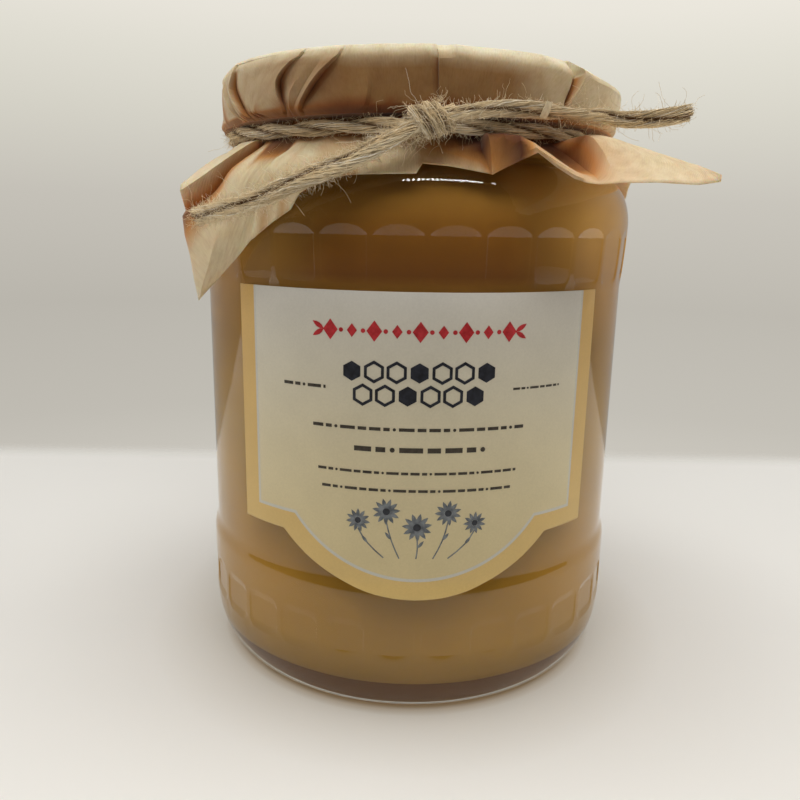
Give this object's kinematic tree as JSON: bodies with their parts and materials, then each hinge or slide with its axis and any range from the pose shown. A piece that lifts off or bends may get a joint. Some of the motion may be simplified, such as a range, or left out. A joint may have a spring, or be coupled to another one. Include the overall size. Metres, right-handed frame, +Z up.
{
  "type": "honey jar",
  "caption": "Round glass jar of honey with a paper label and a kraft paper cover tied over its lid with jute twine.",
  "frame": {"origin": "centre of the flat glass base, on the surface that the jar stands on", "axes": "+Z up along the jar's axis, towards the paper cover; -Y towards the middle of the label and the knot"},
  "size_m": [0.1028, 0.1113, 0.1272],
  "materials": {
    "clear_glass": "clear pressed glass, polished",
    "honey": "thick amber honey, smooth against the glass",
    "tin_lid": "gold lacquered tinplate, satin",
    "label_paper": "coated label paper with a satin print and a gold edge",
    "kraft_paper": "ribbed brown kraft paper, dull, with sharp creases",
    "jute": "twisted jute, rough, with loose fibres"
  },
  "bodies": {
    "root": {"glass_jar": "clear_glass", "honey": "honey", "lid": "tin_lid", "label": "label_paper", "paper_cover": "kraft_paper", "twine_loop": "jute", "twine_knot": "jute", "twine_tail_left": "jute", "twine_tail_right": "jute"}
  },
  "joints": []
}
